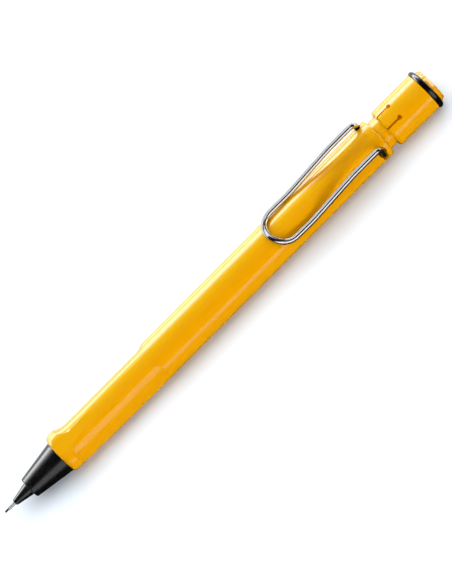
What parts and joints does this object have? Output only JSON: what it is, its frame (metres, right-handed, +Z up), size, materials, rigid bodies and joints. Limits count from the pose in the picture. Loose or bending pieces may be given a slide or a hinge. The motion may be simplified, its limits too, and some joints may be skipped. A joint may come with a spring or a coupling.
{
  "type": "mechanical pencil",
  "caption": "Push-button mechanical pencil with a scooped finger grip, a bent-wire pocket clip, a slit cap button with a rubber ring, and a black cone tip with a thin steel lead pipe.",
  "frame": {"origin": "middle of the pencil's length, on the floor under it as it lies with the clip on top", "axes": "+X along the pencil from the lead tip to the push button, +Z up through the clip, +Y across"},
  "size_m": [0.14, 0.011, 0.0126],
  "materials": {
    "yellow_plastic": "injection-moulded, high gloss",
    "black_satin": "satin",
    "black_gloss": "polished",
    "clip_wire": "bright plated wire",
    "ring_rubber": "smooth, slightly glossy",
    "brake_rubber": "matt",
    "pipe_steel": "drawn",
    "spring_steel": "drawn",
    "graphite": "smooth graphite",
    "chuck_brass": "turned",
    "mechanism_plastic": "moulded",
    "tube_plastic": "extruded, milky",
    "eraser_rubber": "soft white",
    "holder_metal": "drawn"
  },
  "bodies": {
    "barrel_body": {"barrel": "yellow_plastic", "end_collar": "yellow_plastic", "mechanism_sleeve": "mechanism_plastic", "return_spring": "spring_steel"},
    "clip": {"pocket_clip": "clip_wire"},
    "feed_unit": {"chuck_shank": "chuck_brass", "tube_connector": "mechanism_plastic", "lead_reservoir": "tube_plastic", "spare_leads": "graphite"},
    "jaw_1": {"chuck_jaw_1": "chuck_brass"},
    "jaw_2": {"chuck_jaw_2": "chuck_brass"},
    "jaw_3": {"chuck_jaw_3": "chuck_brass"},
    "ring_unit": {"clutch_ring": "chuck_brass"},
    "lead_unit": {"writing_lead": "graphite"},
    "eraser_unit": {"eraser": "eraser_rubber", "eraser_holder": "holder_metal", "cleaning_needle": "pipe_steel"},
    "button_cap": {"push_button": "yellow_plastic", "button_ring": "ring_rubber"},
    "tip_unit": {"nozzle": "black_gloss", "lead_pipe": "pipe_steel", "lead_retainer": "brake_rubber"},
    "tip_cone": {"front_cone": "black_satin"}
  },
  "joints": [
    {"name": "button_press", "type": "slide", "parent": "barrel_body", "child": "feed_unit", "axis": [-1, 0, 0], "range_m": [0, 0.0021], "stiffness_N_per_m": 900, "springref_m": -0.002, "deforming": ["return_spring"]},
    {"name": "ring_travel", "type": "slide", "parent": "barrel_body", "child": "ring_unit", "axis": [-1, 0, 0], "range_m": [0, 0.0007]},
    {"name": "lead_feed", "type": "slide", "parent": "ring_unit", "child": "lead_unit", "axis": [-1, 0, 0], "range_m": [-0.001, 0.012]},
    {"name": "eraser_pull", "type": "slide", "parent": "feed_unit", "child": "eraser_unit", "axis": [1, 0, 0], "range_m": [0, 0.027]},
    {"name": "cap_pull", "type": "slide", "parent": "eraser_unit", "child": "button_cap", "axis": [1, 0, 0], "range_m": [0, 0.016]},
    {"name": "clip_flex", "type": "hinge", "parent": "barrel_body", "child": "clip", "pos_m": [0.0505, 0, 0.0062], "axis": [0, 1, 0], "range_deg": [0, 5], "stiffness_Nm_per_rad": 1, "springref_deg": -1.72},
    {"name": "tip_advance", "type": "slide", "parent": "barrel_body", "child": "tip_unit", "axis": [-1, 0, 0], "range_m": [0, 0.009]},
    {"name": "tip_unscrew", "type": "hinge", "parent": "tip_unit", "child": "tip_cone", "pos_m": [-0.05, 0, 0.0055], "axis": [-1, 0, 0], "range_deg": [0, 2700.1]},
    {"name": "jaw_1_open", "type": "hinge", "parent": "feed_unit", "child": "jaw_1", "pos_m": [-0.048, 0, 0.0063], "axis": [0, 1, 0], "range_deg": [0, 1.5]},
    {"name": "jaw_2_open", "type": "hinge", "parent": "feed_unit", "child": "jaw_2", "pos_m": [-0.048, -0.00069, 0.0051], "axis": [0, -0.5, 0.866], "range_deg": [0, 1.5]},
    {"name": "jaw_3_open", "type": "hinge", "parent": "feed_unit", "child": "jaw_3", "pos_m": [-0.048, 0.00069, 0.0051], "axis": [0, -0.5, -0.866], "range_deg": [0, 1.5]}
  ],
  "couplings": [
    {"joint": "ring_travel", "follows": "button_press", "ratio": 0.33333},
    {"joint": "tip_unscrew", "follows": "tip_advance", "rad_per_m": 5236},
    {"joint": "jaw_1_open", "follows": "button_press", "rad_per_m": 12.46},
    {"joint": "jaw_2_open", "follows": "button_press", "rad_per_m": 12.46},
    {"joint": "jaw_3_open", "follows": "button_press", "rad_per_m": 12.46}
  ]
}
